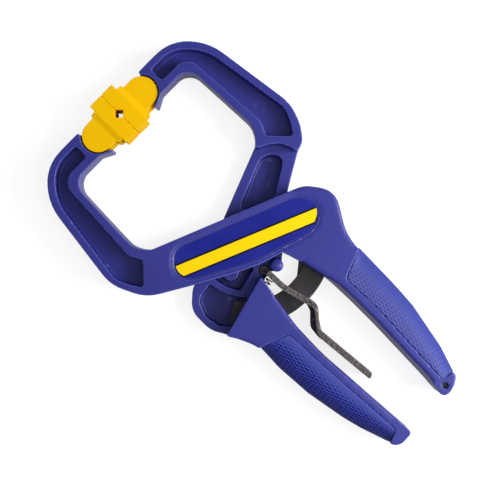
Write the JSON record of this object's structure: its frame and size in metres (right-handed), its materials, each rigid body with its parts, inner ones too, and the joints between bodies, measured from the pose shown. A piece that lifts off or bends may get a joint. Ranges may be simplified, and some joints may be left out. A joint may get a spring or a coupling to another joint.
{
  "type": "ratchet spring clamp",
  "caption": "One-hand spring clamp: two crossed arms on a pivot, ratchet strip, release lever and swivelling pads.",
  "frame": {"origin": "on the pivot axis, at the back face that the clamp lies on", "axes": "+X towards the handles, +Y towards the upper (rear) jaw, +Z along the pivot towards the badge"},
  "size_m": [0.2069, 0.1143, 0.02],
  "materials": {
    "arm_blue": "fine matt moulded nylon",
    "grip_blue": "soft moulded grip with a woven texture",
    "badge_blue": "glossy label film",
    "badge_yellow": "glossy label film",
    "pad_yellow": "soft moulded, satin",
    "strip_black": "satin moulded",
    "lever_black": "grained moulded",
    "steel": "zinc plated",
    "nylon_white": "plain"
  },
  "bodies": {
    "rear_arm": {"rear_arm": "arm_blue", "rear_grip": "grip_blue", "pivot_rivet": "steel", "pivot_push_nut": "steel", "pivot_washer": "nylon_white", "main_spring": "steel", "lever_pin": "steel", "lever_spring": "steel"},
    "front_arm": {"front_arm": "arm_blue", "front_grip": "grip_blue", "badge_plate": "badge_blue", "badge_stripe": "badge_yellow", "ratchet_strip": "strip_black", "strip_pins": "steel"},
    "release_lever": {"release_lever": "lever_black"},
    "rear_pad": {"rear_pad": "pad_yellow", "rear_pad_pin": "steel"},
    "front_pad": {"front_pad": "pad_yellow", "front_pad_pin": "steel"}
  },
  "joints": [
    {"name": "jaw_pivot", "type": "hinge", "parent": "rear_arm", "child": "front_arm", "pos_m": [0, 0, 0.01], "axis": [0, 0, 1], "range_deg": [0, 38], "deforming": ["main_spring"]},
    {"name": "lever_release", "type": "hinge", "parent": "rear_arm", "child": "release_lever", "pos_m": [0.0152, -0.0042, 0.006], "axis": [0, 0, -1], "range_deg": [0, 4], "stiffness_Nm_per_rad": 0.2, "springref_deg": -8.59, "deforming": ["lever_spring"]},
    {"name": "rear_pad_swivel", "type": "hinge", "parent": "rear_arm", "child": "rear_pad", "pos_m": [-0.0807, 0.0139, 0.01], "axis": [0, 0, 1], "range_deg": [0, 19]},
    {"name": "front_pad_swivel", "type": "hinge", "parent": "front_arm", "child": "front_pad", "pos_m": [-0.0807, -0.0139, 0.01], "axis": [0, 0, 1], "range_deg": [-19, 0]}
  ],
  "couplings": [
    {"joint": "rear_pad_swivel", "follows": "jaw_pivot", "ratio": 0.5},
    {"joint": "front_pad_swivel", "follows": "jaw_pivot", "ratio": -0.5}
  ]
}
